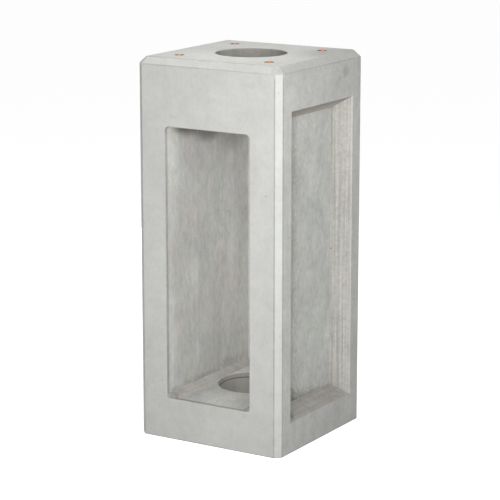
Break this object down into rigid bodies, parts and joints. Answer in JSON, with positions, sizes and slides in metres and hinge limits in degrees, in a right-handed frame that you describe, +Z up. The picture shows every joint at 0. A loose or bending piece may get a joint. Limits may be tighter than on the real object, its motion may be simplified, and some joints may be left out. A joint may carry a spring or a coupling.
{
  "type": "column base block",
  "caption": "Square hollow cast concrete base block for a column or post, with a front window, sunk left and right panels, a pipe hole and threaded top inserts.",
  "frame": {"origin": "middle of the underside, on the ground", "axes": "+Z up along the height; -Y out of the window in the front; +X out of the sunk panel to the right of the window as one faces the window"},
  "size_m": [0.256, 0.256, 0.6],
  "materials": {
    "cast_concrete": "smooth light grey precast concrete with fine pores and faint mould marks",
    "insert_metal": "copper-coloured threaded metal, slightly dulled"
  },
  "bodies": {
    "root": {"concrete_block": "cast_concrete", "insert_front_left": "insert_metal", "insert_front_right": "insert_metal", "insert_back_left": "insert_metal", "insert_back_right": "insert_metal"}
  },
  "joints": []
}
